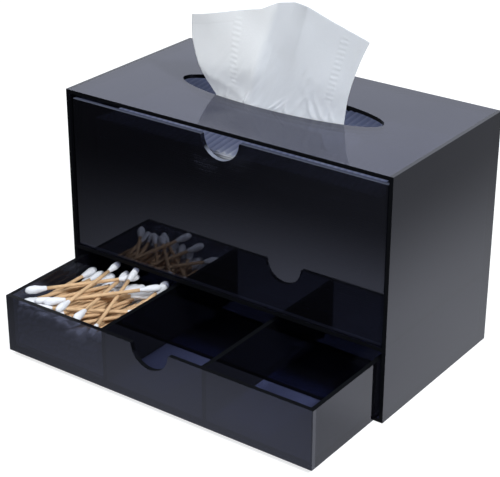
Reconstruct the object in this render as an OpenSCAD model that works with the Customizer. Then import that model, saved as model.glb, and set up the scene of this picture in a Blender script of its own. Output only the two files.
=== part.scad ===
// Tissue box with a swab drawer, built from sheets of smoked acrylic.
// A casing of six bonded sheets holds two sliding drawers. The deep upper one
// carries the stack of tissues, which are pulled through the slot in the top,
// and the shallow lower one has three compartments for swabs and cotton pads.
// X runs across the front, the front faces -Y and Z is up. The origin is the
// middle of the casing's footprint, on the surface that it stands on.

/* [Casing] */
// Width of the casing
box_w = 240; // [200:1:300]
// Depth of the casing, front to back
box_d = 127; // [115:1:180]
// Height of the casing
box_h = 158; // [140:1:200]
// Thickness of the casing's sheets
case_t = 2.5; // [2:0.5:4]

/* [Tissue slot] */
// Length of the oval slot in the top
slot_l = 149; // [120:1:170]
// Width of the oval slot in the top
slot_w = 38; // [30:1:60]

/* [Drawers] */
// Thickness of the drawers' sheets
wall_t = 3; // [2:0.5:4]
// Height of the swab drawer
swab_h = 39; // [30:1:50]
// Gap between a drawer and each side of the casing
side_gap = 1.5; // [0.5:0.25:3]
// Running gap under a drawer
slide_gap = 0.3; // [0.2:0.1:0.6]
// Gap above the swab drawer's rim
swab_top_gap = 5.7; // [2:0.1:8]
// Gap above the tissue drawer's rim
tissue_top_gap = 3.5; // [2:0.1:8]
// How far a closed drawer's front lies behind the casing's front edges
recess = 1.5; // [0:0.5:4]
// Gap between a closed drawer and the back panel
rear_gap = 0.5; // [0.3:0.1:2]
// How far the swab drawer stands open
swab_open = 70.5; // [0:0.5:95]

/* [Finger notches] */
// Radius of the half-round notch in each drawer's front
notch_r = 14; // [8:0.5:18]
// Rounding where the notch runs out into the rim
notch_lip = 1; // [0.5:0.5:4]

/* [Cotton swabs] */
// Length of a swab
swab_l = 75; // [60:1:90]
// Diameter of a swab's cotton tips
tip_d = 5; // [4:0.1:6]
// Length of a swab's cotton tips
tip_l = 14; // [10:0.5:20]
// Diameter of a swab's stick
stick_d = 2.3; // [1.5:0.1:3]
// Gap between neighbouring swabs, and between them and the drawer
swab_gap = 0.3; // [0.2:0.05:0.8]

/* [Tissue stack] */
// Gap between the stack and each side wall of its drawer
stack_side_gap = 7; // [1:0.5:20]
// Gap between the stack and the front wall of its drawer
stack_front_gap = 6; // [1:0.5:20]
// Gap between the stack and the back wall of its drawer
stack_rear_gap = 4; // [1:0.5:20]
// Gap between the stack and the floor of its drawer
stack_floor_gap = 0.3; // [0.3:0.1:1]
// How far the top of the stack lies below its drawer's rim
stack_drop = 13; // [8:0.5:40]
// Thickness of one bundle of folded tissues in the stack
bundle_t = 5.5; // [4:0.5:10]
// Depth of the grooves between the bundles' folded edges
bundle_groove = 1.2; // [0.5:0.1:1.8]

/* [Pulled tissue] */
// Thickness of the pulled tissue with its folds, measured front to back
tissue_t = 0.8; // [0.6:0.1:1.5]
// Gap between the pulled tissue and the slot's edge
tissue_gap = 0.5; // [0.4:0.1:1]
// Height of the pulled tissue's peak above the top
tissue_rise = 67; // [40:1:80]
// How far the pulled tissue reaches into the casing, above the drawer's rim
tissue_foot_gap = 0.5; // [0.3:0.1:1.5]
// Depth of the pleats at the pulled tissue's top edge
pleat_d = 13; // [4:1:24]

/* [Hidden] */
$fn = 64;

// A cut runs this far past the faces that it opens
cut = 1;
// Number of sides that draw the slot's oval
slot_sides = 96;

// Casing: inner faces of the sheets, and the front and back faces
inner_x = box_w / 2 - case_t;
front_y = -box_d / 2;
back_y = box_d / 2;
inner_back_y = back_y - case_t;
top_under_z = box_h - case_t;

// Drawers: outer width and depth, and the front face of a closed one
drawer_w = 2 * (inner_x - side_gap);
closed_y = front_y + recess;
drawer_d = inner_back_y - rear_gap - closed_y;
drawer_inner_w = drawer_w - 2 * wall_t;
drawer_inner_d = drawer_d - 2 * wall_t;

// Swab drawer: where its underside and its front face lie
swab_z = case_t + slide_gap;
swab_y = closed_y - swab_open;
compartment_w = (drawer_inner_w - 2 * wall_t) / 3;

// Shelf between the drawers, and the tissue drawer that runs on it
shelf_z = swab_z + swab_h + swab_top_gap;
tissue_z = shelf_z + case_t + slide_gap;
tissue_h = top_under_z - tissue_top_gap - tissue_z;
tissue_rim_z = tissue_z + tissue_h;

// Swabs: how far each layer of the heap is turned from straight back to the
// right. The heap has as many layers as slide in under the shelf.
layer_turns = [0, 10, -5, 16, 5, 22, 28];
swab_pitch = tip_d + swab_gap;
swab_room = shelf_z - swab_z - wall_t - 2 * swab_gap;
swab_layers = min(len(layer_turns), floor(swab_room / swab_pitch));

// Tissue stack: its box inside the tissue drawer
stack_l = drawer_inner_w - 2 * stack_side_gap;
stack_w = drawer_inner_d - stack_front_gap - stack_rear_gap;
stack_y = closed_y + wall_t + stack_front_gap + stack_w / 2;
stack_z = tissue_z + wall_t + stack_floor_gap;
stack_h = tissue_rim_z - stack_drop - stack_z;
bundles = max(1, round(stack_h / bundle_t));

// Crest where the next tissue is drawn up towards the slot
crest_l = slot_l * 0.6;
crest_foot = 7;
crest_tip = 0.8;
crest_gap = 0.5;
crest_y = -(slot_w / 2 - tissue_gap - tissue_t / 2);

// Pulled tissue: its left edge, its two folds and its right edge. Each is an
// angle along the slot's front lip, then the top's x, the pleat's side, the
// height as a share of the peak, and how far the line bows out on its way up.
tissue_lines = [
    [-31, -57, -0.7, 0.71, 1],
    [-10, -0.5, 0.1, 0.92, 0.3],
    [13.5, 28, -0.8, 1, -0.35],
    [48, 68.5, -0.3, 0.785, -0.6]
];
tissue_lean_y = -3;
pleat_columns = 8;
tissue_rows = 14;
foot_rows = 2;

smoke = [0.13, 0.13, 0.16, 0.9];
cotton = [0.95, 0.93, 0.88];
paper = [0.93, 0.94, 0.97];

// A block between two opposite corners
module block(low, high) {
    translate(low) cube(high - low);
}

// ---- Casing ----

module side_panel(side) {
    outer = side * box_w / 2;
    inner = side * inner_x;
    color(smoke)
        block([min(outer, inner), front_y, 0], [max(outer, inner), back_y, box_h]);
}

module left_side_panel() {
    side_panel(-1);
}

module right_side_panel() {
    side_panel(1);
}

function oval(length, width, sides) = [
    for (i = [0 : sides - 1])
        let (a = 360 * i / sides)
            [length / 2 * cos(a), width / 2 * sin(a)]
];

module top_panel() {
    color(smoke)
        difference() {
            block([-inner_x, front_y, top_under_z], [inner_x, back_y, box_h]);
            translate([0, 0, top_under_z - cut])
                linear_extrude(case_t + 2 * cut)
                    polygon(oval(slot_l, slot_w, slot_sides));
        }
}

module back_panel() {
    color(smoke)
        block([-inner_x, inner_back_y, 0], [inner_x, back_y, top_under_z]);
}

module base_panel() {
    color(smoke)
        block([-inner_x, front_y, 0], [inner_x, inner_back_y, case_t]);
}

module middle_shelf() {
    color(smoke)
        block([-inner_x, front_y, shelf_z], [inner_x, inner_back_y, shelf_z + case_t]);
}

// ---- Drawers: each is drawn from the middle of its front face's lower edge ----

// Outline of the finger notch below a rim at y = 0, with its lips rounded
module notch_outline() {
    lip_x = sqrt(notch_r * notch_r + 2 * notch_r * notch_lip);
    lip_y = notch_lip * notch_r / (notch_r + notch_lip);
    circle(notch_r);
    difference() {
        translate([-lip_x, -lip_y]) square([2 * lip_x, lip_y + cut]);
        for (side = [-1, 1])
            translate([side * lip_x, -notch_lip]) circle(notch_lip);
    }
}

module drawer_front(height) {
    color(smoke)
        difference() {
            block([-drawer_w / 2, 0, 0], [drawer_w / 2, wall_t, height]);
            translate([0, wall_t + cut, height])
                rotate([90, 0, 0])
                    linear_extrude(wall_t + 2 * cut) notch_outline();
        }
}

module drawer_wall(side, height) {
    outer = side * drawer_w / 2;
    inner = side * drawer_inner_w / 2;
    color(smoke)
        block([min(outer, inner), wall_t, 0], [max(outer, inner), drawer_d, height]);
}

module drawer_back(height) {
    color(smoke)
        block([-drawer_inner_w / 2, drawer_d - wall_t, 0],
              [drawer_inner_w / 2, drawer_d, height]);
}

module drawer_floor() {
    color(smoke)
        block([-drawer_inner_w / 2, wall_t, 0],
              [drawer_inner_w / 2, drawer_d - wall_t, wall_t]);
}

module drawer_divider(side) {
    middle = side * (compartment_w + wall_t) / 2;
    color(smoke)
        block([middle - wall_t / 2, wall_t, wall_t],
              [middle + wall_t / 2, drawer_d - wall_t, swab_h]);
}

module in_tissue_drawer() {
    translate([0, closed_y, tissue_z]) children();
}

module in_swab_drawer() {
    translate([0, swab_y, swab_z]) children();
}

module tissue_drawer_front() {
    in_tissue_drawer() drawer_front(tissue_h);
}

module tissue_drawer_left_wall() {
    in_tissue_drawer() drawer_wall(-1, tissue_h);
}

module tissue_drawer_right_wall() {
    in_tissue_drawer() drawer_wall(1, tissue_h);
}

module tissue_drawer_back() {
    in_tissue_drawer() drawer_back(tissue_h);
}

module tissue_drawer_floor() {
    in_tissue_drawer() drawer_floor();
}

module swab_drawer_front() {
    in_swab_drawer() drawer_front(swab_h);
}

module swab_drawer_left_wall() {
    in_swab_drawer() drawer_wall(-1, swab_h);
}

module swab_drawer_right_wall() {
    in_swab_drawer() drawer_wall(1, swab_h);
}

module swab_drawer_back() {
    in_swab_drawer() drawer_back(swab_h);
}

module swab_drawer_floor() {
    in_swab_drawer() drawer_floor();
}

module left_divider() {
    in_swab_drawer() drawer_divider(-1);
}

module right_divider() {
    in_swab_drawer() drawer_divider(1);
}

// ---- Swabs: a heap in the left compartment, in layers that cross ----

// Outline of a swab on one side of its axis, which lies along Y: the stick, and
// the tips, which are round at their ends and taper down onto the stick
module swab_outline() {
    tip_y = swab_l / 2 - tip_d / 2;
    foot_y = swab_l / 2 - tip_l;
    for (end = [-1, 1])
        intersection() {
            translate([0, end > 0 ? 0 : -swab_l / 2]) square([tip_d / 2, swab_l / 2]);
            union() {
                translate([0, end * tip_y]) circle(tip_d / 2);
                polygon([
                    [0, 0], [stick_d / 2, 0], [stick_d / 2, end * foot_y],
                    [tip_d / 2, end * between(foot_y, tip_y, 0.6)],
                    [tip_d / 2, end * tip_y], [0, end * tip_y]
                ]);
            }
        }
}

// A swab that lies along +Y, drawn from the middle of its front tip's round end
module swab() {
    translate([0, swab_l / 2 - tip_d / 2, 0])
        rotate([-90, 0, 0])
            rotate_extrude() swab_outline();
}

module swab_layer(turn) {
    reach = (swab_l - tip_d) * sin(turn);
    across = compartment_w - tip_d - 2 * swab_gap - abs(reach);
    count = 1 + floor(across / (swab_pitch / cos(turn)));
    start = -drawer_inner_w / 2 + swab_gap + tip_d / 2 - min(reach, 0);
    for (i = [0 : count - 1])
        translate([start + across * i / (count - 1), wall_t + swab_gap + tip_d / 2, 0])
            rotate([0, 0, -turn]) swab();
}

module cotton_swabs() {
    color(cotton)
        in_swab_drawer()
            for (i = [0 : swab_layers - 1])
                translate([0, 0, wall_t + swab_gap + tip_d / 2 + i * swab_pitch])
                    swab_layer(layer_turns[i]);
}

// ---- Tissues ----

// The stack, end on: a core, and the rounded folds of the bundles beside it
module stack_outline() {
    thickness = stack_h / bundles;
    core_w = stack_w - 2 * bundle_groove;
    translate([-core_w / 2, 0]) square([core_w, stack_h]);
    for (i = [0 : bundles - 1], side = [-1, 1])
        translate([side * (stack_w - thickness) / 2, (i + 0.5) * thickness])
            circle(thickness / 2);
}

// The next tissue, end on, drawn up from the stack towards the slot
module crest_outline() {
    middle = crest_y - stack_y;
    tip = stack_h + stack_drop - crest_gap;
    polygon([
        [middle - crest_foot, stack_h - cut],
        [middle + crest_foot, stack_h - cut],
        [middle + crest_tip, tip],
        [middle - crest_tip, tip]
    ]);
}

module tissue_stack() {
    color(paper)
        translate([0, stack_y, stack_z])
            rotate([90, 0, 90]) {
                translate([0, 0, -stack_l / 2])
                    linear_extrude(stack_l) stack_outline();
                translate([0, 0, -crest_l / 2])
                    linear_extrude(crest_l) crest_outline();
            }
}

function between(a, b, t) = a + (b - a) * t;

// A line of the pulled tissue at a place across it, from 0 at its left edge
function tissue_line(u) =
    let (i = min(floor(u), len(tissue_lines) - 2), t = u - i)
        between(tissue_lines[i], tissue_lines[i + 1], t);

// Where that line leaves the slot: on the oval of the lip, drawn in by the gap
function lip_point(angle, inset) = [
    (slot_l / 2 - inset) * sin(angle),
    -(slot_w / 2 - inset) * cos(angle)
];

// Middle of the pulled tissue at a place across it and at a share of its
// height above the top. Below the top it hangs straight down to its foot.
function tissue_point(u, v) =
    let (
        line = tissue_line(u),
        lip = lip_point(line[0], tissue_gap + tissue_t / 2),
        crown = [line[1], tissue_lean_y + pleat_d * line[2]],
        rise = max(v, 0),
        share = rise + line[4] * rise * (1 - rise),
        plan = between(lip, crown, share),
        drop = box_h - tissue_rim_z - tissue_foot_gap
    )
        [plan[0], plan[1], box_h + min(v, 0) * drop + rise * line[3] * tissue_rise];

tissue_columns = pleat_columns * (len(tissue_lines) - 1);
tissue_grid_rows = foot_rows + tissue_rows;

function tissue_face_points(side) = [
    for (row = [-foot_rows : tissue_rows], column = [0 : tissue_columns])
        let (
            v = row < 0 ? row / foot_rows : row / tissue_rows,
            middle = tissue_point(column / pleat_columns, v)
        )
            middle + [0, side * tissue_t / 2, 0]
];

// Two triangles for each cell of a grid, with their corners given by a rule
function cell(a, b, c, d) = [[a, b, c], [a, c, d]];

module pulled_tissue() {
    wide = tissue_columns + 1;
    back = wide * (tissue_grid_rows + 1);
    function front_at(row, column) = row * wide + column;
    function back_at(row, column) = back + row * wide + column;
    last_row = tissue_grid_rows;
    last_column = tissue_columns;
    faces = [
        for (row = [0 : last_row - 1], column = [0 : last_column - 1])
            each concat(
                cell(front_at(row, column), front_at(row + 1, column),
                     front_at(row + 1, column + 1), front_at(row, column + 1)),
                cell(back_at(row, column), back_at(row, column + 1),
                     back_at(row + 1, column + 1), back_at(row + 1, column))
            ),
        for (column = [0 : last_column - 1])
            each concat(
                cell(front_at(0, column), front_at(0, column + 1),
                     back_at(0, column + 1), back_at(0, column)),
                cell(front_at(last_row, column), back_at(last_row, column),
                     back_at(last_row, column + 1), front_at(last_row, column + 1))
            ),
        for (row = [0 : last_row - 1])
            each concat(
                cell(front_at(row, 0), back_at(row, 0),
                     back_at(row + 1, 0), front_at(row + 1, 0)),
                cell(front_at(row, last_column), front_at(row + 1, last_column),
                     back_at(row + 1, last_column), back_at(row, last_column))
            )
    ];
    color(paper)
        polyhedron(concat(tissue_face_points(-1), tissue_face_points(1)), faces);
}

left_side_panel();
right_side_panel();
top_panel();
back_panel();
base_panel();
middle_shelf();
tissue_drawer_front();
tissue_drawer_left_wall();
tissue_drawer_right_wall();
tissue_drawer_back();
tissue_drawer_floor();
swab_drawer_front();
swab_drawer_left_wall();
swab_drawer_right_wall();
swab_drawer_back();
swab_drawer_floor();
left_divider();
right_divider();
cotton_swabs();
tissue_stack();
pulled_tissue();
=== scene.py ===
"""Looks of the tissue box with a swab drawer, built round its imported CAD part.

The sheets of the casing and the drawers keep their CAD nodes and get smoked
acrylic. The pulled tissue, the stack of tissues and the cotton swabs are replaced
by fuller soft pieces. Lengths are in metres, in the CAD frame. The soft pieces are
worked out in mm, and turned into metres as their meshes are made.
"""

import math

import bpy
import numpy as np
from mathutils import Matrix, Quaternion, Vector


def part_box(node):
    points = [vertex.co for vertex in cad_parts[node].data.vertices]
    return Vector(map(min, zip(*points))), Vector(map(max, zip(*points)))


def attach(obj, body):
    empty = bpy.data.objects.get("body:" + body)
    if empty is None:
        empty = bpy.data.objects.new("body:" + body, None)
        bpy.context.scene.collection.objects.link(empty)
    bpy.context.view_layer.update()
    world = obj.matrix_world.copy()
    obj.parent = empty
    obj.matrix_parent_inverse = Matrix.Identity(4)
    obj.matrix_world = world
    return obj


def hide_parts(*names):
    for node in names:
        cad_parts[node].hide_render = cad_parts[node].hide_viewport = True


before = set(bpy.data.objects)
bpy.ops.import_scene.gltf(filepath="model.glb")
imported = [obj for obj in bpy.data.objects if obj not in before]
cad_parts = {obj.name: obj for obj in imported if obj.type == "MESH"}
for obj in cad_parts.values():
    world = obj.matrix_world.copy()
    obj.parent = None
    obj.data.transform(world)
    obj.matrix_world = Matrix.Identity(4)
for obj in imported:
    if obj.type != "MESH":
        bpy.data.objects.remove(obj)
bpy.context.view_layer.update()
MM = 0.001


# ---------------------------------------------------------------- node helpers


def new_material(name):
    """A material without nodes, and its tree."""
    mat = bpy.data.materials.new(name)
    mat.use_nodes = True
    mat.node_tree.nodes.clear()
    return mat, mat.node_tree


def feed(tree, value, socket):
    """Gives a socket another node's output, a colour or a number."""
    if isinstance(value, bpy.types.NodeSocket):
        tree.links.new(value, socket)
    elif isinstance(value, tuple):
        socket.default_value = (*value, 1)
    else:
        socket.default_value = value


def add_node(tree, kind, **settings):
    """A node with some of its inputs, or of its own settings, given by name."""
    made = tree.nodes.new(kind)
    for key, value in settings.items():
        if key in made.inputs.keys():
            made.inputs[key].default_value = value
        else:
            setattr(made, key, value)
    return made


def math_node(tree, operation, *values, clamp=False):
    made = add_node(tree, "ShaderNodeMath", operation=operation, use_clamp=clamp)
    for value, socket in zip(values, made.inputs):
        feed(tree, value, socket)
    return made.outputs[0]


def between(tree, value, low, high, from_low=0.0, from_high=1.0, how="LINEAR"):
    """Runs from low to high while value runs from from_low to from_high."""
    made = add_node(tree, "ShaderNodeMapRange", interpolation_type=how)
    made.inputs["From Min"].default_value = from_low
    made.inputs["From Max"].default_value = from_high
    made.inputs["To Min"].default_value = low
    made.inputs["To Max"].default_value = high
    feed(tree, value, made.inputs["Value"])
    return made.outputs["Result"]


def noise(tree, scale, detail, stretch=(1, 1, 1)):
    """Noise that is fixed to the piece, so that it moves along with it."""
    stretched = add_node(tree, "ShaderNodeMapping")
    stretched.inputs["Scale"].default_value = stretch
    feed(tree, tree.nodes.new("ShaderNodeTexCoord").outputs["Object"], stretched.inputs["Vector"])
    made = add_node(tree, "ShaderNodeTexNoise", Scale=scale, Detail=detail)
    feed(tree, stretched.outputs["Vector"], made.inputs["Vector"])
    return made.outputs["Fac"]


def bump(tree, height, strength, distance):
    made = add_node(tree, "ShaderNodeBump", Strength=strength, Distance=distance)
    feed(tree, height, made.inputs["Height"])
    return made.outputs["Normal"]


def vertex_value(tree, name):
    return add_node(tree, "ShaderNodeAttribute", attribute_name=name).outputs["Fac"]


def light_path(tree, name):
    return tree.nodes.new("ShaderNodeLightPath").outputs[name]


def mix_colours(tree, share, first, second):
    made = add_node(tree, "ShaderNodeMix", data_type="RGBA")
    feed(tree, share, made.inputs[0])
    feed(tree, first, made.inputs[6])
    feed(tree, second, made.inputs[7])
    return made.outputs[2]


def mix_shaders(tree, share, first, second):
    made = tree.nodes.new("ShaderNodeMixShader")
    for value, socket in zip((share, first, second), made.inputs):
        feed(tree, value, socket)
    return made.outputs[0]


def principled(tree, gloss, **settings):
    """A Principled shader. gloss is its specular level."""
    made = add_node(tree, "ShaderNodeBsdfPrincipled", **settings)
    made.inputs["Specular IOR Level"].default_value = gloss
    return made


def diffuse(tree, colour):
    made = tree.nodes.new("ShaderNodeBsdfDiffuse")
    feed(tree, colour, made.inputs["Color"])
    return made.outputs[0]


def glowing(tree, kind, strength, colour):
    """A shader that gives light: an emission or a background."""
    made = tree.nodes.new(kind)
    feed(tree, colour, made.inputs["Color"])
    feed(tree, strength, made.inputs["Strength"])
    return made.outputs[0]


def put_out(tree, shader, kind="ShaderNodeOutputMaterial"):
    feed(tree, shader, tree.nodes.new(kind).inputs["Surface"])


def split_place(tree, kind):
    """X, Y and Z of a texture coordinate, by name."""
    place = tree.nodes.new("ShaderNodeSeparateXYZ")
    feed(tree, tree.nodes.new("ShaderNodeTexCoord").outputs[kind], place.inputs[0])
    return place.outputs


# --------------------------------------------------------------------- acrylic

AXES = {"x": (1, 0, 0), "y": (0, 1, 0), "z": (0, 0, 1)}
ACRYLIC_IOR = 1.49
# The tints of the light that passes and of the light that is mirrored
CLEAR_TINT = (0.80, 0.83, 1.0)
MIRROR_TINT = (0.72, 0.76, 1.0)
# A sawn edge has this share of the faces' gloss
EDGE_GLOSS = 0.04


def scaled(colour, factor):
    return tuple(factor * part for part in colour)


def turned_along(tree, axis):
    """How nearly the surface faces along an axis, either way, from 0 to 1."""
    facing = add_node(tree, "ShaderNodeVectorMath", operation="DOT_PRODUCT")
    feed(tree, tree.nodes.new("ShaderNodeNewGeometry").outputs["Normal"], facing.inputs[0])
    facing.inputs[1].default_value = AXES[axis]
    return math_node(tree, "ABSOLUTE", facing.outputs["Value"])


def sawn_share(tree, dark_edges):
    """1 on the surfaces that face along one of the axes of the dark edges."""
    turned = turned_along(tree, dark_edges[0])
    for other in dark_edges[1:]:
        turned = math_node(tree, "MAXIMUM", turned, turned_along(tree, other))
    return between(tree, turned, 0.0, 1.0, 0.5, 0.8)


def clear_share(tree, axis, through, fall):
    """How much light passes: as much as through says where the face is seen
    squarely, less where it is seen at a slant, and none at the sheet's edges."""
    on_face = math_node(tree, "GREATER_THAN", turned_along(tree, axis), 0.96)
    slant = add_node(tree, "ShaderNodeLayerWeight", Blend=0.5).outputs["Facing"]
    squareness = math_node(tree, "SUBTRACT", 1.0, slant, clamp=True)
    passed = math_node(tree, "MULTIPLY", math_node(tree, "POWER", squareness, fall), through)
    return math_node(tree, "MULTIPLY", on_face, passed)


def acrylic_face(tree, smudges, gloss, haze):
    """A polished face with a faint bluish haze, slightly wavy and smudged."""
    face = principled(tree, gloss, IOR=ACRYLIC_IOR)
    face.inputs["Specular Tint"].default_value = (*MIRROR_TINT, 1)
    faint = scaled((0.7, 0.7, 1.0), haze)
    strong = scaled((1.1, 1.1, 1.5), haze)
    feed(tree, mix_colours(tree, smudges, faint, strong), face.inputs["Base Color"])
    feed(tree, between(tree, smudges, 0.02, 0.055, 0.35, 0.7), face.inputs["Roughness"])
    feed(tree, bump(tree, noise(tree, 9.0, 1.0), 0.25, 0.4 * MM), face.inputs["Normal"])
    return face.outputs[0]


def acrylic_edge(tree, smudges, gloss, edge_paleness):
    """A sawn edge, nearly black, or as pale as its last argument says."""
    edge = principled(tree, EDGE_GLOSS * gloss, IOR=ACRYLIC_IOR)
    faint = scaled((0.8, 0.85, 1.0), edge_paleness)
    strong = scaled((1.0, 1.1, 1.4), edge_paleness)
    feed(tree, mix_colours(tree, smudges, faint, strong), edge.inputs["Base Color"])
    feed(tree, between(tree, smudges, 0.12, 0.3), edge.inputs["Roughness"])
    return edge.outputs[0]


def acrylic(name, axis, dark_edges, acrylic_with_painted_shade, edge_paleness=0.005):
    """Smoked acrylic for a sheet whose faces look along axis."""
    through, fall, gloss, haze = acrylic_with_painted_shade
    mat, tree = new_material(name)
    smudges = noise(tree, 18.0, 4.0)
    face = acrylic_face(tree, smudges, gloss, haze)
    edge = acrylic_edge(tree, smudges, gloss, edge_paleness)
    solid = mix_shaders(tree, sawn_share(tree, dark_edges), face, edge)
    clear = tree.nodes.new("ShaderNodeBsdfTransparent")
    clear.inputs["Color"].default_value = (*CLEAR_TINT, 1)
    share = clear_share(tree, axis, through, fall)
    put_out(tree, mix_shaders(tree, share, solid, clear.outputs[0]))
    return mat


# ------------------------------------------------------------- soft materials

# The grey-blue that a vertex value mixes into the tissue as painted shade
PAINTED_SHADE_COLOUR = (0.46, 0.50, 0.59)
WOOD = (0.54, 0.34, 0.18), (0.72, 0.50, 0.30)
COTTON = (0.70, 0.71, 0.75), (0.80, 0.81, 0.84)


def paper(name, low, high, soft):
    """Soft two-ply tissue: matt, a little uneven, with a fine fibrous surface. A vertex
    value darkens it as painted shade, and soft is how far light gets into it."""
    mat, tree = new_material(name)
    body = principled(tree, 0.2, Roughness=0.95, IOR=1.3)
    body.inputs["Subsurface Weight"].default_value = soft
    body.inputs["Subsurface Radius"].default_value = (1.0, 1.0, 1.0)
    body.inputs["Subsurface Scale"].default_value = MM
    plain = mix_colours(tree, noise(tree, 60.0, 4.0), low, high)
    shaded = mix_colours(tree, vertex_value(tree, "painted_shade"), plain, PAINTED_SHADE_COLOUR)
    feed(tree, shaded, body.inputs["Base Color"])
    fibres = math_node(tree, "ADD", noise(tree, 900.0, 4.0), noise(tree, 350.0, 2.0, (1, 1, 0.3)))
    feed(tree, bump(tree, fibres, 0.3, 0.2 * MM), body.inputs["Normal"])
    put_out(tree, body.outputs[0])
    return mat


def swab_material():
    """White cotton tips on a pale wooden stick, told apart by a vertex value."""
    mat, tree = new_material("swab_wood_and_cotton")
    body = principled(tree, 0.3)
    grain = noise(tree, 500.0, 3.0)
    wood = mix_colours(tree, grain, *WOOD)
    fluff = mix_colours(tree, noise(tree, 700.0, 3.0), *COTTON)
    colour = mix_colours(tree, vertex_value(tree, "cotton"), wood, fluff)
    feed(tree, colour, body.inputs["Base Color"])
    feed(tree, between(tree, grain, 0.65, 0.95), body.inputs["Roughness"])
    feed(tree, bump(tree, noise(tree, 1400.0, 3.0), 0.5, 0.3 * MM), body.inputs["Normal"])
    put_out(tree, body.outputs[0])
    return mat


# ---------------------------------------------------------------------- camera

# Fitted to the corners of the casing and of the open drawer in the photograph
AZIMUTH, ELEVATION, ROLL = (math.radians(a) for a in (35.89, 25.63, 0.09))
CAMERA_PLACE = (0.5018, -0.7248, 0.4855)
FOCAL_PIXELS = 1514.5
PHOTO_WIDTH_PIXELS = 500
SENSOR_WIDTH = 36


def make_camera():
    data = bpy.data.cameras.new("camera")
    data.sensor_width = SENSOR_WIDTH
    data.lens = SENSOR_WIDTH * FOCAL_PIXELS / PHOTO_WIDTH_PIXELS
    data.clip_start = 0.01
    camera = bpy.data.objects.new("camera", data)
    camera.location = CAMERA_PLACE
    level = math.cos(ELEVATION)
    forward = (-math.sin(AZIMUTH) * level, math.cos(AZIMUTH) * level, -math.sin(ELEVATION))
    camera.rotation_mode = "QUATERNION"
    aimed = Vector(forward).to_track_quat("-Z", "Y")
    camera.rotation_quaternion = aimed @ Quaternion((0, 0, 1), ROLL)
    bpy.context.scene.collection.objects.link(camera)
    bpy.context.scene.camera = camera


# ------------------------------------------------------------- table and light

WHITE = (1, 1, 1)
LAMP_COLOUR = (0.93, 0.965, 1.0)
DOME_COLOUR = (0.92, 0.95, 1.0)
MIRRORED_DOME_COLOUR = (0.88, 0.92, 1.0)
MIRRORED_TABLE_COLOUR = (0.93, 0.95, 1.0)
TABLE_HALF = 9.0
# The table lies just under the object
TABLE_Z = -0.0004
# How bright the table is off the camera's own view: along an axis it changes from
# one brightness to another, between two places. This is a painted pool of light, in
# the table's colour and in its glow in the gloss, that falls off as in a light tent
TABLE_FALLS = [
    ("X", 0.16, 1.0, -0.30, 0.05),
    ("X", 1.0, 0.5, 0.17, 0.28),
    ("Y", 0.12, 0.76, -0.30, -0.14),
    ("Y", 1.0, 1.32, -0.085, -0.045),
    ("Y", 1.0, 0.75, 0.05, 0.30),
]
# A painted shadow: under the casing and behind it the table's colour is darker,
# except in the gloss
PAINTED_SHADOW_UNDER_CASING = ("Y", 0.95, 0.12, -0.056, -0.044)


def table_fall(tree, place, axis, first, second, start, end):
    return between(tree, place[axis], first, second, start, end, "SMOOTHSTEP")


def table_seen(tree):
    """The table as the camera sees it: white, with the object's soft shadow."""
    seen = tree.nodes.new("ShaderNodeAddShader")
    feed(tree, diffuse(tree, scaled(WHITE, 0.42)), seen.inputs[0])
    feed(tree, glowing(tree, "ShaderNodeEmission", 0.72, WHITE), seen.inputs[1])
    return seen.outputs[0]


def table_unseen(tree):
    """The table in the gloss, through the acrylic and as it lights the object. Its
    glow in the gloss is a painted pool of light, and its colour is that pool with a
    painted shadow under the casing.
    """
    place = split_place(tree, "Object")
    pool = table_fall(tree, place, *TABLE_FALLS[0])
    for fall in TABLE_FALLS[1:]:
        pool = math_node(tree, "MULTIPLY", pool, table_fall(tree, place, *fall))
    strength = math_node(tree, "MULTIPLY", pool, 1.2)
    mirrored = glowing(tree, "ShaderNodeEmission", strength, MIRRORED_TABLE_COLOUR)
    # painted pool of light and painted shadow in the table's colour
    painted_pool_and_shadow = math_node(tree, "MULTIPLY", pool, table_fall(tree, place, *PAINTED_SHADOW_UNDER_CASING))
    return mix_shaders(tree, light_path(tree, "Is Glossy Ray"), diffuse(tree, painted_pool_and_shadow), mirrored)


def table_material():
    mat, tree = new_material("pale_table")
    not_through = math_node(tree, "LESS_THAN", light_path(tree, "Transparent Depth"), 0.5)
    direct = math_node(tree, "MULTIPLY", light_path(tree, "Is Camera Ray"), not_through)
    put_out(tree, mix_shaders(tree, direct, table_unseen(tree), table_seen(tree)))
    return mat


def make_floor():
    mesh = bpy.data.meshes.new("floor")
    corners = [(TABLE_HALF * x, TABLE_HALF * y, 0) for x, y in ((-1, -1), (1, -1), (1, 1), (-1, 1))]
    mesh.from_pydata(corners, [], [(0, 1, 2, 3)])
    mesh.materials.append(table_material())
    floor = bpy.data.objects.new("floor", mesh)
    floor.location = (0, 0, TABLE_Z)
    bpy.context.scene.collection.objects.link(floor)


def make_world():
    """A dome that is brightest overhead and behind the object. The gloss mirrors
    an even one, and the camera sees white."""
    world = bpy.data.worlds.new("studio")
    bpy.context.scene.world = world
    world.use_nodes = True
    tree = world.node_tree
    tree.nodes.clear()
    place = split_place(tree, "Generated")
    overhead = between(tree, place["Z"], 0.08, 0.95, 0.1, 0.8, "SMOOTHSTEP")
    behind = between(tree, place["Y"], 0.55, 1.5, -0.5, 0.6, "SMOOTHSTEP")
    strength = math_node(tree, "MULTIPLY", overhead, behind)
    dome = glowing(tree, "ShaderNodeBackground", strength, DOME_COLOUR)
    mirrored = glowing(tree, "ShaderNodeBackground", 1.08, MIRRORED_DOME_COLOUR)
    white = glowing(tree, "ShaderNodeBackground", 1.0, WHITE)
    unseen = mix_shaders(tree, light_path(tree, "Is Glossy Ray"), dome, mirrored)
    seen = mix_shaders(tree, light_path(tree, "Is Camera Ray"), unseen, white)
    put_out(tree, seen, "ShaderNodeOutputWorld")


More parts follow.
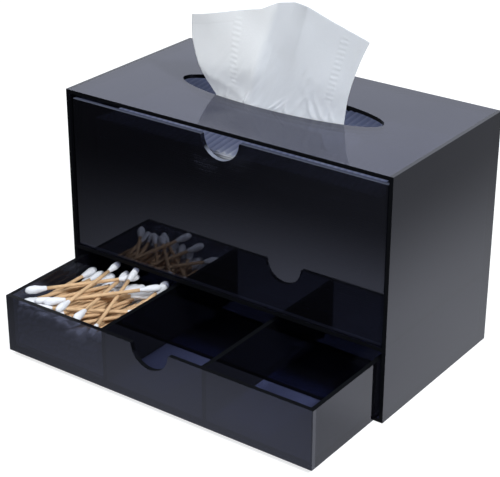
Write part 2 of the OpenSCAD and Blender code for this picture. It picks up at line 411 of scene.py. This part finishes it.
def area_light(name, place, target, size, power, in_gloss):
    data = bpy.data.lights.new(name, "AREA")
    data.shape = "SQUARE"
    data.size = size
    data.energy = power
    data.color = LAMP_COLOUR
    lamp = bpy.data.objects.new(name, data)
    lamp.location = place
    lamp.rotation_mode = "QUATERNION"
    lamp.rotation_quaternion = (Vector(target) - Vector(place)).to_track_quat("-Z", "Y")
    lamp.visible_glossy = in_gloss
    bpy.context.scene.collection.objects.link(lamp)


make_camera()
make_floor()
make_world()
area_light("key", (1.08, -0.50, 1.10), (0.0, -0.05, 0.05), size=0.13, power=19.8, in_gloss=True)
area_light("fill", (-0.5, -0.9, 1.0), (0.0, 0.0, 0.1), size=0.7, power=6.8, in_gloss=False)


# ------------------------------------------------------------------ CAD sheets

# How much light each face of a sheet lets pass, how fast that falls with the
# slant, the gloss and the brightness of the surface haze: by the axis along which
# the faces look, and for some sheets on their own. All the sheets are one smoked
# acrylic, and the differences between the rows are painted shade and sheen, such
# as the darker dividers, the dimmer shut front and the brighter haze of the top.
ACRYLIC_WITH_PAINTED_SHADE_AND_SHEEN = {
    "x": (0.26, 0.5, 0.5, 0.003),
    "y": (0.19, 0.5, 0.95, 0.003),
    "front": (0.42, 0.5, 0.85, 0.003),
    "left": (0.42, 0.4, 0.35, 0.006),
    "divider": (0.05, 0.5, 0.12, 0.002),
    "z": (0.74, 0.5, 0.6, 0.003),
    "top": (0.54, 1.0, 0.66, 0.047),
}
# The axes along which the sawn edges of a sheet look nearly black, by the axis
# that the sheet's faces look along
CASING_EDGES = {"x": "y", "y": "z", "z": "xy"}
DRAWER_EDGES = {"x": "yz", "y": "z", "z": "xy"}
CASING_SHEETS = {
    "x": ["left_side_panel", "right_side_panel"],
    "y": ["back_panel"],
    "z": ["base_panel", "middle_shelf"],
}
DRAWER_SHEETS = {
    "x": ["tissue_drawer_left_wall", "tissue_drawer_right_wall", "swab_drawer_right_wall"],
    "y": ["tissue_drawer_back", "swab_drawer_back"],
    "z": ["tissue_drawer_floor", "swab_drawer_floor"],
}
BEVEL_WIDTH = 0.15 * MM
BEVEL_ANGLE = math.radians(40)
# The pale top edge of the shut drawer's front is a painted highlight
PAINTED_HIGHLIGHT_PALENESS = 0.26


def dress_sheet(node, mat):
    """Gives a CAD sheet its acrylic, and edges that catch the light."""
    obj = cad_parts[node]
    obj.data.materials.clear()
    obj.data.materials.append(mat)
    edges = obj.modifiers.new("polished_edges", "BEVEL")
    edges.width = BEVEL_WIDTH
    edges.segments = 2
    edges.limit_method = "ANGLE"
    edges.angle_limit = BEVEL_ANGLE


def dress_plain_sheets():
    for axis in AXES:
        casing = acrylic("casing_acrylic_" + axis, axis, CASING_EDGES[axis], ACRYLIC_WITH_PAINTED_SHADE_AND_SHEEN[axis])
        drawer = acrylic("drawer_acrylic_" + axis, axis, DRAWER_EDGES[axis], ACRYLIC_WITH_PAINTED_SHADE_AND_SHEEN[axis])
        for node in CASING_SHEETS[axis]:
            dress_sheet(node, casing)
        for node in DRAWER_SHEETS[axis]:
            dress_sheet(node, drawer)


def dress_special_sheets():
    """The sheets with a copy of the acrylic of their own, set as painted shade and
    sheen. The shut drawer's front has a paler top edge than the others: a painted
    highlight."""
    top = acrylic("top_acrylic", "z", CASING_EDGES["z"], ACRYLIC_WITH_PAINTED_SHADE_AND_SHEEN["top"])
    closed_front = acrylic("closed_front_acrylic", "y", "z", ACRYLIC_WITH_PAINTED_SHADE_AND_SHEEN["y"], PAINTED_HIGHLIGHT_PALENESS)
    open_front = acrylic("open_front_acrylic", "y", DRAWER_EDGES["y"], ACRYLIC_WITH_PAINTED_SHADE_AND_SHEEN["front"])
    open_left = acrylic("open_left_acrylic", "x", DRAWER_EDGES["x"], ACRYLIC_WITH_PAINTED_SHADE_AND_SHEEN["left"])
    dress_sheet("top_panel", top)
    dress_sheet("tissue_drawer_front", closed_front)
    dress_sheet("swab_drawer_front", open_front)
    dress_sheet("swab_drawer_left_wall", open_left)
    for node in ("left_divider", "right_divider"):
        mat = acrylic(node + "_acrylic", "x", DRAWER_EDGES["x"], ACRYLIC_WITH_PAINTED_SHADE_AND_SHEEN["divider"])
        dress_sheet(node, mat)


dress_plain_sheets()
dress_special_sheets()


# ---------------------------------------------------------------- mesh helpers


def smoothstep(x):
    x = np.clip(x, 0, 1)
    return x * x * (3 - 2 * x)


def ridge(distance, width):
    """1 where the distance is 0, and a smooth fall to 0 on both sides."""
    return np.exp(-((distance / width) ** 2))


def dashes(along, pitch):
    """An even wave from 0 to 1, with a crest at every pitch."""
    return 0.5 + 0.5 * np.cos(2 * np.pi * along / pitch)


def grid_faces(rows, columns):
    at = np.arange(rows * columns).reshape(rows, columns)
    return np.stack([at[:-1, :-1], at[:-1, 1:], at[1:, 1:], at[1:, :-1]], -1).reshape(-1, 4)


def tube_faces(rings, sides, turned_round=False):
    """Walls and both ends of a tube through rings of points. turned_round is for
    rings that run the other way round."""
    at = np.arange(rings * sides).reshape(rings, sides)
    after = np.roll(at, -1, axis=1)
    walls = np.stack([at[:-1], after[:-1], after[1:], at[1:]], -1).reshape(-1, 4)
    ends = [at[0, ::-1], at[-1]]
    if turned_round:
        walls = walls[:, [0, 3, 2, 1]]
        ends = [end[::-1] for end in ends]
    return [*walls, *ends]


def joined(parts):
    """Points, faces and vertex values of several parts as those of one."""
    points, faces, values = [], [], []
    base = 0
    for part_points, part_faces, part_values in parts:
        points.append(part_points)
        faces.extend(np.array(face) + base for face in part_faces)
        values.append(part_values)
        base += len(part_points)
    return np.concatenate(points), faces, np.concatenate(values)


def mesh_object(name, mat, value_name, points, faces, values):
    """A smooth mesh from points in mm, with a named value at each point."""
    mesh = bpy.data.meshes.new(name)
    corners = [tuple(point) for point in points * MM]
    mesh.from_pydata(corners, [], [tuple(int(i) for i in face) for face in faces])
    mesh.validate()
    mesh.materials.append(mat)
    mesh.shade_smooth()
    mesh.attributes.new(value_name, "FLOAT", "POINT").data.foreach_set("value", values)
    obj = bpy.data.objects.new(name, mesh)
    bpy.context.scene.collection.objects.link(obj)
    return obj


# --------------------------------------------------------------- pulled tissue

# Height of the top panel's upper face
TOP_FACE = round(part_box("top_panel")[1].z / MM, 3)
# The foot follows an oval just inside the slot's, and goes down into the slot
LIP_HALF_LENGTH = 73.4
LIP_HALF_DEPTH = 17.9
FOOT_DEPTH = 5.3
# Places across the sheet: 0 at its left edge, 1 at its valley fold, 2 at its ridge
# fold and 3 at its right edge. The lists below hold for these places
ACROSS = [0.0, 0.4, 0.75, 1.0, 1.5, 2.0, 2.5, 3.0]
# Where the top edge runs
CROWN_X = [-57.1, -31.5, -11.1, -0.7, 14.7, 28.2, 48.7, 68.7]
CROWN_Y = [-14.0, -9.5, -5.0, -1.0, -6.5, -13.0, -11.0, -9.0]
CROWN_Z = [205.8, 211.3, 215.2, 220.3, 224.2, 225.2, 218.0, 210.6]
# Where the foot meets the slot's lip, in degrees from the middle of its front
LIP_ANGLE = [-31.0, -21.5, -14.0, -10.0, 1.5, 13.5, 30.0, 48.0]
# How far the sheet bows sideways on its way up
BOW = [1.1, 0.75, 0.45, 0.3, -0.1, -0.35, -0.5, -0.6]
# How far it bulges to the front, at the left and at the right of the valley fold
BELLY_LEFT, BELLY_RIGHT = 3.6, 1.4
# A soft valley and a crisper ridge: place across, and half of the rounding's width
FOLDS = [(1.0, 0.07), (2.0, 0.05)]
# Small tucks that run up from the lip: place across at the lip, height as a share
# of the sheet's, lean, width, and depth in mm
TUCKS = [
    (0.90, 0.14, 0.50, 0.040, 1.3),
    (1.58, 0.17, 2.20, 0.040, 1.0),
    (1.72, 0.13, 2.00, 0.035, 0.9),
    (1.93, 0.14, 0.30, 0.030, 0.8),
    (0.30, 0.20, 0.90, 0.050, 0.7),
    (2.45, 0.34, -0.70, 0.045, 0.7),
    (2.62, 0.28, -0.80, 0.045, 0.6),
    (2.80, 0.22, -0.70, 0.040, 0.5),
]
# Embossed bands that run up the sheet: two heights and the middle's x at each of
# them, half of the width, and the heights of the lower and the upper end
BANDS = [
    ([160, 214], [-20.5, -26.0], 3.4, 163, 211),
    ([168, 209], [44.5, 53.0], 3.3, 166, 214),
]
PLY_THICKNESS = 0.22 * MM


def lip_roll(u, rise):
    """The roll where the gathered sheet comes over the slot's lip, at the left."""
    at_left = smoothstep(u / 0.1) * smoothstep((1.1 - u) / 0.4)
    return ridge(rise - 0.27 + 0.26 * u, 0.075) * at_left


def tissue_point(u, v):
    """Middle of the sheet, at u across it and v up it. v is 0 at the top panel's
    upper face, 1 at the top edge and -1 at the foot's edge inside the slot."""
    angle = np.radians(np.interp(u, ACROSS, LIP_ANGLE))
    lip_x, lip_y = LIP_HALF_LENGTH * np.sin(angle), -LIP_HALF_DEPTH * np.cos(angle)
    crown_x, crown_y, crown_z = (np.interp(u, ACROSS, c) for c in (CROWN_X, CROWN_Y, CROWN_Z))
    rise = np.clip(v, 0, 1)
    sideways = rise + np.interp(u, ACROSS, BOW) * rise * (1 - rise)
    back = rise * (0.45 + 0.55 * rise)
    belly = np.interp(u, [0.9, 1.3], [BELLY_LEFT, BELLY_RIGHT])
    bulge = smoothstep(rise / 0.4) * (1 - smoothstep((rise - 0.3) / 0.7))
    x = lip_x + (crown_x - lip_x) * sideways + 0.72 * (belly - BELLY_RIGHT) * bulge
    y = lip_y + (crown_y - lip_y) * back - 0.6 * lip_roll(u, rise) - belly * bulge
    z = TOP_FACE + rise * (crown_z - TOP_FACE) + np.minimum(v, 0) * FOOT_DEPTH
    return x, y, z


def round_fold(value, u, centre, width):
    """Rounds a coordinate's kink at a fold, in place, by a curve that goes on in
    the directions that the sheet has on both sides."""
    step = 3 / (u.shape[1] - 1)
    left = int(round((centre - width) / step))
    right = int(round((centre + width) / step))
    start, end = value[:, left : left + 1], value[:, right : right + 1]
    slope_in = (start - value[:, left - 1 : left]) / step * 2 * width
    slope_out = (value[:, right + 1 : right + 2] - end) / step * 2 * width
    h = np.clip((u - centre + width) / (2 * width), 0, 1)
    smooth = (
        start * (2 * h**3 - 3 * h**2 + 1)
        + slope_in * (h**3 - 2 * h**2 + h)
        + end * (3 * h**2 - 2 * h**3)
        + slope_out * (h**3 - h**2)
    )
    near = np.abs(u - centre) < width
    value[near] = smooth[near]


def tucks(u, rise):
    """How far the tucks stand out to the front."""
    out = np.zeros_like(u)
    for place, height, lean, width, depth in TUCKS:
        fade = np.clip(1 - rise / height, 0, 1)
        out += depth * fade * ridge(u - place - lean * rise, width)
    return out


def ripple(x, z, length, turn, phase):
    along = x * math.cos(turn) + z * math.sin(turn)
    return np.sin(2 * np.pi * along / length + phase)


def waves(x, z, rise):
    """Fine wrinkles that fade on the way up, and slow waves that grow."""
    rng = np.random.default_rng(7)
    push = np.zeros_like(x)
    for _ in range(10):
        shape = rng.uniform(5, 11), rng.uniform(-0.9, -0.3), rng.uniform(0, 6.28)
        push += 0.05 * ripple(x, z, *shape) * smoothstep((0.75 - rise) / 0.6)
    for _ in range(6):
        shape = rng.uniform(28, 60), rng.uniform(0, 3.14), rng.uniform(0, 6.28)
        push += 0.35 * ripple(x, z, *shape) * rise
    return push


def embossing(x, z):
    """How far the dashes in the embossed bands stand out to the front."""
    out = np.zeros_like(x)
    for heights, middles, half_width, low, high in BANDS:
        from_middle = x - np.interp(z, heights, middles)
        inside = smoothstep((half_width - np.abs(from_middle)) / 1.6)
        ends = smoothstep((z - low) / 9) * smoothstep((high - z) / 5)
        uneven = 0.8 + 0.2 * np.sin(z / 2.3 + x)
        out += 0.20 * inside * dashes(z + 0.12 * from_middle, 3.15) * ends * uneven
    return out


def ply_edge(x, z):
    """The edge of a ply, near the left part of the top edge."""
    above = smoothstep((z - (np.interp(x, CROWN_X, CROWN_Z) - 6.5)) / 0.8)
    return 0.12 * above * smoothstep((-24 - x) / 4)


def pulled_tissue():
    """The tissue that stands up through the slot."""
    columns, rows = 330, 150
    u, v = np.meshgrid(np.linspace(0, 3, columns), np.linspace(-1, 1, rows))
    # the lowest 7% of the rows are inside the slot
    v = np.where(v < -0.86, (v + 0.86) / 0.14, (v + 0.86) / 1.86)
    x, y, z = tissue_point(u, v)
    for fold in FOLDS:
        for value in (x, y, z):
            round_fold(value, u, *fold)
    rise = np.clip(v, 0, 1)
    push = waves(x, z, rise) - tucks(u, rise) - embossing(x, z) - ply_edge(x, z)
    y = y + push * smoothstep((v + 0.02) / 0.06)
    # painted shade where the sheet is folded and gathered, as less light comes through from behind
    # there
    folded = 0.32 * smoothstep((u - 0.85) / 0.3)
    gathered = 0.12 * smoothstep((0.55 - rise) / 0.35)
    painted_dimming = np.maximum(folded, gathered).ravel()
    points = np.stack([x, y, z], -1).reshape(-1, 3)
    mat = paper("pulled_tissue_paper", (0.87, 0.91, 0.98), (0.91, 0.945, 1.0), soft=1.0)
    faces = grid_faces(rows, columns)
    obj = mesh_object("pulled_tissue_sheet", mat, "painted_shade", points, faces, painted_dimming)
    solid = obj.modifiers.new("ply", "SOLIDIFY")
    solid.thickness = PLY_THICKNESS
    solid.offset = 0
    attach(obj, "casing")
    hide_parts("pulled_tissue")


# ------------------------------------------------------------ stack of tissues

STACK_TOP = 139.0
SLAB_COUNT = 62
# The next tissue, drawn up towards the slot
CREST_Y = -18.1
CREST_HALF_LENGTH = 44.4
CREST_RISE = 12.9


def slab_outline(front, back, half, steps):
    """A slab from its side, as rows of y and height over its middle: up round its
    back fold, forward over its top, down round its front fold and back below."""
    turn = np.linspace(-np.pi / 2, np.pi / 2, 5)
    run = np.linspace(back - half, front + half, steps + 1)[1:]
    outline = [(back - half + half * math.cos(a), half * math.sin(a)) for a in turn]
    outline += [(y, half) for y in run]
    outline += [(front + half - half * math.cos(a), -half * math.sin(a)) for a in turn[1:]]
    outline += [(y, -half) for y in run[::-1][1:-1]]
    return np.array(outline)


def top_relief(x, y, left, right, front, back):
    """Rise and painted shade of the top slab's upper side: slanting ribs in a band
    along both folds with painted shade in their valleys, both ends lower, and the
    back half darker with painted shade."""
    from_front = y - front
    from_edge = np.minimum(from_front, back - y)
    rib = dashes(x + 0.12 * from_front, 4.6)
    band = smoothstep((from_edge + 0.5) / 1.5) * smoothstep((40 - from_edge) / 2.0)
    low_ends = 0.5 * ridge(x - left, 4) + 0.5 * ridge(x - right, 4)
    rise = (rib - 0.6) * band - low_ends
    # painted shade in the ribs' valleys and over the back half
    painted_shade = (0.8 - 0.8 * rib) * band + 0.5 * smoothstep((from_front - 45) / 20)
    return rise, painted_shade


def slab(low, high, number, rng):
    """One folded tissue of the stack, a little off its neighbours: its points,
    faces and values of painted shade."""
    on_top = number == SLAB_COUNT - 1
    inset = rng.uniform(0.05, 0.75, 4)
    if on_top:
        inset = np.array([0.1, 0.1, 0.2, 0.3])
    left, right = low[0] + inset[0], high[0] - inset[1]
    front, back = low[1] + inset[2], high[1] - inset[3]
    pitch = (STACK_TOP - low[2]) / SLAB_COUNT
    # the top one is finer, for its relief
    columns, steps = (330, 60) if on_top else (26, 3)
    outline = slab_outline(front, back, 0.52 * pitch, steps)
    edge_y, height = outline[:, 0], outline[:, 1]
    x = np.linspace(left, right, columns)[:, None]
    wave = 0.22 * np.sin(x / rng.uniform(7, 14) + rng.uniform(0, 6.28))
    wave = wave + 0.12 * np.sin(x / 3.1 + rng.uniform(0, 6.28))
    inward = np.where(edge_y < (front + back) / 2, 1, -1)
    y = edge_y + inward * (0.25 + wave)
    z = low[2] + (number + 0.5) * pitch + height
    painted_shade = np.zeros_like(y)
    if on_top:
        rise, painted_shade = top_relief(x, y, left, right, front, back)
        z = z + (height > 0) * rise - 0.35
    points = np.stack(np.broadcast_arrays(x, y, z), -1).reshape(-1, 3)
    faces = tube_faces(columns, len(outline), turned_round=True)
    return points, faces, painted_shade.ravel()


def crest_side(side):
    """The front (-1) or back (1) of the next tissue: its points, faces and values of
    painted shade, all 0. It is spread at its foot and pinched at its top."""
    rows, columns = 30, 90
    s, t = np.meshgrid(np.linspace(-1, 1, columns), np.linspace(0, 1, rows))
    spread = (0.75 + 6.0 * (1 - t) ** 2.4) * (1 - 0.25 * s * s * (1 - t))
    wavy = 0.7 * np.sin(9 * s + 2.2 * t) * t * (1 - t)
    x = s * CREST_HALF_LENGTH * (1 - 0.04 * t)
    y = CREST_Y + side * spread + wavy
    z = STACK_TOP - 0.8 + t * CREST_RISE * (1 - 0.03 * s * s)
    points = np.stack([x, y, z], -1).reshape(-1, 3)
    faces = grid_faces(rows, columns)
    if side > 0:
        faces = faces[:, ::-1]
    return points, faces, np.zeros(len(points))


def tissue_stack():
    """Folded tissues as separate slabs with rounded folds, and the next tissue
    drawn up from the top one."""
    low, high = (np.array(corner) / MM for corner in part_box("tissue_stack"))
    rng = np.random.default_rng(11)
    parts = [slab(low, high, number, rng) for number in range(SLAB_COUNT)]
    parts += [crest_side(side) for side in (-1, 1)]
    # The same tissue as the pulled sheet, in a greyer colour as painted shade
    mat = paper("folded_tissue_paper", (0.74, 0.76, 0.81), (0.80, 0.82, 0.86), soft=0.0)
    obj = mesh_object("tissue_stack_layers", mat, "painted_shade", *joined(parts))
    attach(obj, "tissue_drawer")
    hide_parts("tissue_stack")


# ------------------------------------------------------------------- swab pile

SWAB_LENGTH = 75.0
STICK_R, TIP_R, TIP_LENGTH = 1.15, 2.45, 14.0
END_R = 0.35
# From the middle of one round end to the middle of the other
CORE_LENGTH = SWAB_LENGTH - 2 * TIP_R
SWAB_SIDES = 12
# Where a swab's rings of points are, from either end: over the cotton, just past
# the cotton's edge, and on the bare stick
HALF_STATIONS = [0, 0.5, 1.3, 2.6, 4.2, 6.5, 9, 11.5, 13.3, TIP_LENGTH, TIP_LENGTH + 0.01, 26]
STATIONS = np.array(HALF_STATIONS + [SWAB_LENGTH - s for s in HALF_STATIONS[::-1]])

# The heap stays under this height, clear of the shelf as the drawer shuts
SWAB_TOP = 45.8
HEAP_COUNT = 94
# Kinds of swab in the heap: turn to the right in degrees, and place across the
# compartment from 0 to 1
HEAP_KINDS = [
    ((30, 50), (0.02, 0.3)),
    ((-14, 6), (0.25, 0.98)),
    ((6, 26), (0.02, 0.6)),
    ((-6, 12), (0.1, 0.9)),
]
# Swabs that drop on top: front x and y, back x and y, and climb
TOP_SWABS = [
    (-104, -125, -75, -62, 4),
    (-60, -126, -70, -60, 8),
    (-95, -124, -58, -68, 4),
    (-50, -126, -62, -62, 8),
    (-105, -118, -52, -76, 2),
    (-68, -125, -84, -60, 10),
    (-98, -126, -44, -78, 2),
    (-56, -126, -76, -62, 10),
    (-108, -120, -60, -72, 3),
    (-46, -126, -50, -62, 6),
    (-76, -125, -86, -64, 8),
    (-92, -116, -43, -74, 2),
]
# Clear space at the compartment's walls and floor, width used, and height a swab
WALL_GAP, SPREAD_WIDTH, DROP_RISE = 3, 67, 0.5

# The settling: a fall with a ceiling that comes down, and then a calm end
STEPS, CALM_STEPS = 220, 30
CEILING_START = 45
MAX_SPEED, MAX_OVERLAP, STIFFNESS = 0.8, 0.6, 0.9


def swab_radius(s):
    """Radius of a swab at s mm from its nearer end."""
    t = np.clip(s / TIP_LENGTH, 0, 1)
    bulb = TIP_R * np.sqrt(np.clip(1 - (1 - np.clip(t / 0.3, 0, 1)) ** 2, 0, 1))
    taper = TIP_R - (TIP_R - STICK_R - 0.25) * smoothstep((t - 0.45) / 0.55)
    return np.where(t < 1, np.maximum(np.minimum(bulb, taper), 0.0), STICK_R)


def nearest_places(a, b, c, d):
    """Places along segments ab and cd, from 0 to 1, where they come nearest."""
    u, v, w = b - a, d - c, a - c
    uu, uv, vv = (u * u).sum(1), (u * v).sum(1), (v * v).sum(1)
    uw, vw = (u * w).sum(1), (v * w).sum(1)
    area = uu * vv - uv * uv
    s = np.clip(np.where(area > 1e-6, (uv * vw - vv * uw) / np.maximum(area, 1e-6), 0.5), 0, 1)
    t = np.clip((uv * s + vw) / vv, 0, 1)
    s = np.clip((uv * t - uw) / uu, 0, 1)
    return s, t


def core_radius(place):
    """Radius of a swab at a place from 0 to 1 along its core."""
    return swab_radius(np.minimum(place, 1 - place) * CORE_LENGTH + TIP_R)


def push_apart(front, back, first, second):
    """Moves the swabs of each pair that overlap away from each other, in place."""
    s, t = nearest_places(front[first], back[first], front[second], back[second])
    p = front[first] + (back[first] - front[first]) * s[:, None]
    q = front[second] + (back[second] - front[second]) * t[:, None]
    gap = np.linalg.norm(q - p, axis=1)
    away = (q - p) / np.maximum(gap, 1e-6)[:, None]
    overlap = np.clip(core_radius(s) + core_radius(t) - gap, 0, MAX_OVERLAP)
    push = overlap[:, None] * away * 0.5
    shares = (
        (front, first, 1 - s, -1),
        (back, first, s, -1),
        (front, second, 1 - t, 1),
        (back, second, t, 1),
    )
    for ends, swabs, weight, sign in shares:
        np.add.at(ends, swabs, sign * push * weight[:, None] * STIFFNESS)


def keep_length(front, back):
    """Gives each swab its length again, in place."""
    middle, run = (front + back) / 2, back - front
    run *= (CORE_LENGTH / np.linalg.norm(run, axis=1))[:, None]
    front[:], back[:] = middle - run / 2, middle + run / 2


def settle(front, back, low, high):
    """Drops swabs into a box, in place. front and back are the middles of their
    round ends."""
    first, second = np.triu_indices(len(front), 1)
    speeds = np.zeros_like(front), np.zeros_like(back)
    for step in range(STEPS):
        calm = step > STEPS - CALM_STEPS
        drag, gravity, rounds = (0.5, 0.01, 10) if calm else (0.80, 0.06, 4)
        headroom = CEILING_START * max(0, 1 - step / (0.8 * STEPS))
        ceiling = high - TIP_R + np.array([0, 0, headroom])
        before = front.copy(), back.copy()
        for ends, speed in zip((front, back), speeds):
            speed *= drag
            speed[:, 2] -= gravity
            ends += speed
        for _ in range(rounds):
            push_apart(front, back, first, second)
            keep_length(front, back)
            for ends in (front, back):
                np.clip(ends, low + TIP_R, ceiling, out=ends)
        for ends, old, speed in zip((front, back), before, speeds):
            np.clip(ends - old, -MAX_SPEED, MAX_SPEED, out=speed)


def heap_start(low, rng):
    """Starts and directions of the swabs before they fall, one over another. They
    lie side by side at the bottom and cross more and more further up."""
    for k in range(HEAP_COUNT):
        turns, places = HEAP_KINDS[k % len(HEAP_KINDS)]
        turn = math.radians(rng.uniform(*turns) * (0.25 + 0.75 * k / HEAP_COUNT))
        x = low[0] + WALL_GAP + rng.uniform(*places) * SPREAD_WIDTH
        y = low[1] + rng.uniform(WALL_GAP, 10)
        z = low[2] + WALL_GAP + DROP_RISE * k
        yield (x, y, z), (math.sin(turn), math.cos(turn), 0.1 * k / HEAP_COUNT)
    for k, (front_x, front_y, back_x, back_y, climb) in enumerate(TOP_SWABS):
        z = low[2] + WALL_GAP + DROP_RISE * HEAP_COUNT + 2 * k
        yield (front_x, front_y, z), (back_x - front_x, back_y - front_y, climb)


def swab(front, back, rng):
    """One swab, its tips a little squeezed and lumpy: its points, faces and cotton
    values. front and back are the middles of its round ends."""
    axis = (back - front) / np.linalg.norm(back - front)
    side = np.cross(axis, [0.0, 0.0, 1.0])
    side /= np.linalg.norm(side)
    up = np.cross(side, axis)
    squeeze = rng.uniform(0.9, 1.08, 2)
    # a third phase is drawn and left unused, so that later swabs stay as they are
    phase_2, phase_3, _ = rng.uniform(0, 6.28, 3)
    from_end = np.minimum(STATIONS, SWAB_LENGTH - STATIONS)
    cotton = from_end < TIP_LENGTH + 0.005
    radius = np.where(from_end == 0, END_R, swab_radius(from_end))
    squeezed = squeeze[(STATIONS > SWAB_LENGTH / 2).astype(int)]
    angle = 2 * np.pi * np.arange(SWAB_SIDES) / SWAB_SIDES
    s = STATIONS[:, None]
    lumpy = 1 + 0.05 * np.sin(2 * angle + phase_2 + s) + 0.04 * np.sin(3 * angle + phase_3 - 0.7 * s)
    radii = radius[:, None] * np.where(cotton[:, None], squeezed[:, None] * lumpy, 1)
    around = side * np.cos(angle)[:, None] + up * np.sin(angle)[:, None]
    start = front - axis * TIP_R
    points = start + axis * s[:, :, None] + around * radii[:, :, None]
    faces = tube_faces(len(STATIONS), SWAB_SIDES)
    return points.reshape(-1, 3), faces, np.repeat(cotton.astype(float), SWAB_SIDES)


def swab_pile():
    """Swabs tipped into the left compartment. The last ones drop on top at given
    places."""
    low, high = (np.array(corner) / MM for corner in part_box("cotton_swabs"))
    high[2] = SWAB_TOP
    rng = np.random.default_rng(5)
    fronts, backs = [], []
    for start, run in heap_start(low, rng):
        fronts.append(np.array(start))
        backs.append(start + np.array(run) / np.linalg.norm(run) * CORE_LENGTH)
    front, back = np.array(fronts), np.array(backs)
    settle(front, back, low, high)
    parts = [swab(*ends, rng) for ends in zip(front, back)]
    obj = mesh_object("cotton_swabs_pile", swab_material(), "cotton", *joined(parts))
    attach(obj, "swab_drawer")
    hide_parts("cotton_swabs")


pulled_tissue()
tissue_stack()
swab_pile()


# --------------------------------------------------------------------- closing

scene = bpy.context.scene
scene.cycles.transparent_max_bounces = 24
scene.view_settings.view_transform = "Standard"
